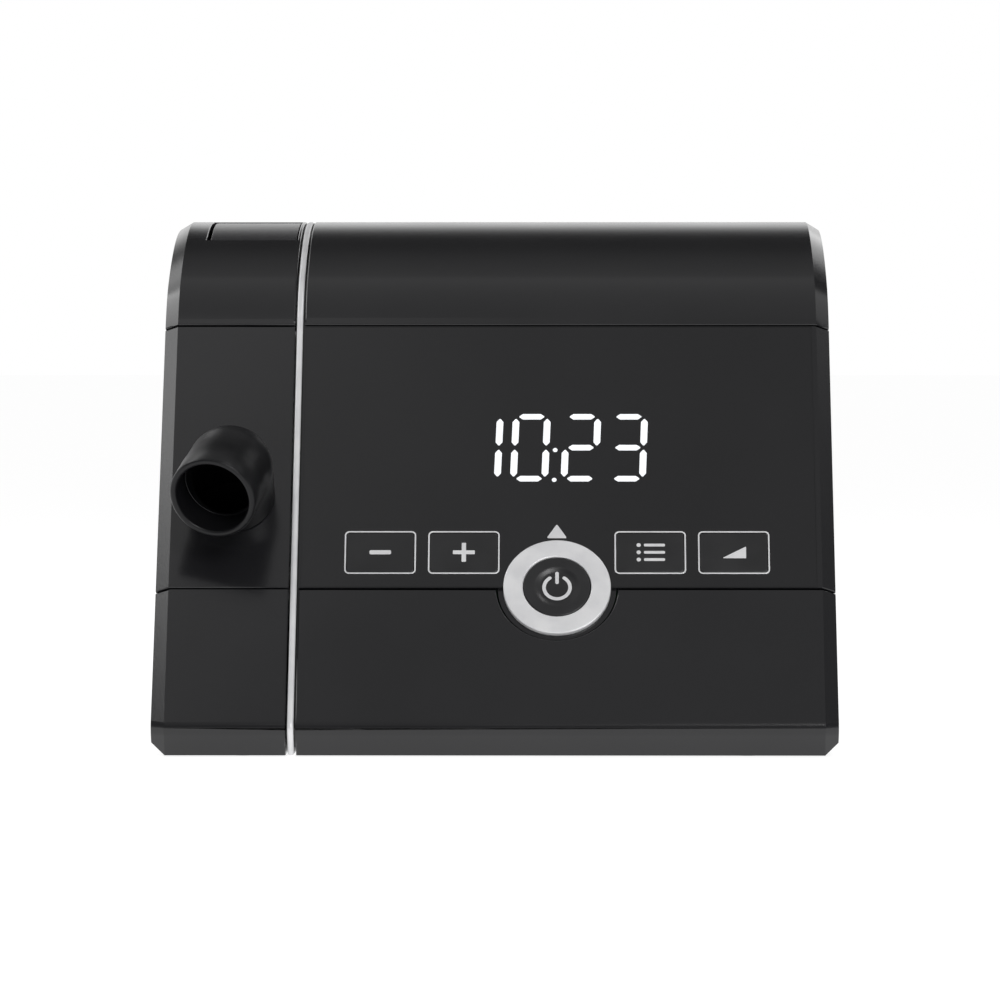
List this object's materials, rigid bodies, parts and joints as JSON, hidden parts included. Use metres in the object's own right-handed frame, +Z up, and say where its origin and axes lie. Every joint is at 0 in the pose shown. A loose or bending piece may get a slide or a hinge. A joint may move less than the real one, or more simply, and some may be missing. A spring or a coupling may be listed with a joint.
{
  "type": "cpap machine",
  "caption": "Bedside breathing-therapy blower with a sloping key face, clock display, ringed power button and a side module with a swivelling hose elbow.",
  "frame": {"origin": "on the table under the middle of the case", "axes": "+X to the user's right, -Y the control face, +Z up"},
  "size_m": [0.17, 0.18, 0.135],
  "materials": {
    "case_plastic": "satin moulded ABS, near black",
    "overlay_foil": "smoked polyester overlay, satin",
    "key_plastic": "satin moulded plastic",
    "silver_trim": "satin silver",
    "elbow_plastic": "polished black moulded plastic",
    "rubber": "soft matt rubber",
    "circuit_board": "solder resist over glass fibre",
    "switch_plastic": "moulded",
    "display_glass": "dark window",
    "steel": "zinc plated",
    "motor_winding": "enamelled copper on steel",
    "duct_plastic": "natural moulded plastic",
    "foam": "open-cell foam",
    "filter_fleece": "white fleece",
    "card_plastic": "moulded",
    "ribbon": "flat cable",
    "plate_film": "bare silver film"
  },
  "bodies": {
    "housing": {"lower_housing": "case_plastic", "upper_housing": "case_plastic", "top_cover": "case_plastic", "front_foil": "overlay_foil", "button_ring": "silver_trim", "trim_strip": "silver_trim", "main_feet": "rubber", "port_seal": "rubber", "blower_dampers": "rubber", "front_board": "circuit_board", "main_board": "circuit_board", "tact_switches": "switch_plastic", "dc_inlet": "switch_plastic", "interface_port": "switch_plastic", "display_module": "display_glass", "housing_screws": "steel", "front_board_screws": "steel", "main_board_screws": "steel", "volute_screws": "steel", "motor_bearings": "steel", "sd_reader": "steel", "motor_stator": "motor_winding", "volute_lower": "duct_plastic", "volute_upper": "duct_plastic", "outlet_duct": "duct_plastic", "inlet_box": "duct_plastic", "inlet_muffler": "foam", "coarse_filter": "foam", "fine_filter": "filter_fleece", "ribbon_cable": "ribbon", "rating_plate": "plate_film"},
    "side_module": {"module_lower_shell": "case_plastic", "module_front_shell": "case_plastic", "module_top_cover": "case_plastic", "module_duct": "switch_plastic", "elbow_socket": "switch_plastic", "elbow_seal": "rubber", "module_feet": "rubber", "module_screws": "steel", "release_spring": "steel"},
    "impeller": {"impeller": "duct_plastic", "motor_shaft": "steel"},
    "power_button": {"power_button": "key_plastic"},
    "filter_door": {"filter_door": "case_plastic"},
    "sd_card": {"sd_card": "card_plastic"},
    "key_minus": {"key_minus": "key_plastic"},
    "key_plus": {"key_plus": "key_plastic"},
    "key_menu": {"key_menu": "key_plastic"},
    "key_ramp": {"key_ramp": "key_plastic"},
    "elbow": {"outlet_elbow": "elbow_plastic"},
    "release_button": {"release_button": "case_plastic"}
  },
  "joints": [
    {"name": "key_minus_press", "type": "slide", "parent": "housing", "child": "key_minus", "axis": [0, 0.848, -0.5299], "range_m": [0, 0.0005], "stiffness_N_per_m": 400, "springref_m": -0.0005},
    {"name": "key_plus_press", "type": "slide", "parent": "housing", "child": "key_plus", "axis": [0, 0.848, -0.5299], "range_m": [0, 0.0005], "stiffness_N_per_m": 400, "springref_m": -0.0005},
    {"name": "key_menu_press", "type": "slide", "parent": "housing", "child": "key_menu", "axis": [0, 0.848, -0.5299], "range_m": [0, 0.0005], "stiffness_N_per_m": 400, "springref_m": -0.0005},
    {"name": "key_ramp_press", "type": "slide", "parent": "housing", "child": "key_ramp", "axis": [0, 0.848, -0.5299], "range_m": [0, 0.0005], "stiffness_N_per_m": 400, "springref_m": -0.0005},
    {"name": "power_button_press", "type": "slide", "parent": "housing", "child": "power_button", "axis": [0, 0.848, -0.5299], "range_m": [0, 0.001], "stiffness_N_per_m": 500, "springref_m": -0.0005},
    {"name": "module_pull", "type": "slide", "parent": "housing", "child": "side_module", "axis": [-1, 0, 0], "range_m": [0, 0.06]},
    {"name": "release_press", "type": "slide", "parent": "side_module", "child": "release_button", "axis": [0, 0, -1], "range_m": [0, 0.0025], "stiffness_N_per_m": 400, "springref_m": -0.002, "deforming": ["release_spring"]},
    {"name": "elbow_swivel", "type": "hinge", "parent": "side_module", "child": "elbow", "pos_m": [-0.0665, -0.0545, 0.06382], "axis": [0, -0.848, 0.5299], "continuous": true},
    {"name": "filter_door_swing", "type": "hinge", "parent": "housing", "child": "filter_door", "pos_m": [0.028, 0.0888, 0.0858], "axis": [1, 0, 0], "range_deg": [0, 100]},
    {"name": "sd_card_slide", "type": "slide", "parent": "housing", "child": "sd_card", "axis": [1, 0, 0], "range_m": [0, 0.026]},
    {"name": "impeller_spin", "type": "hinge", "parent": "housing", "child": "impeller", "pos_m": [0.028, 0.04272, 0.022], "axis": [0, 0, 1], "continuous": true}
  ]
}
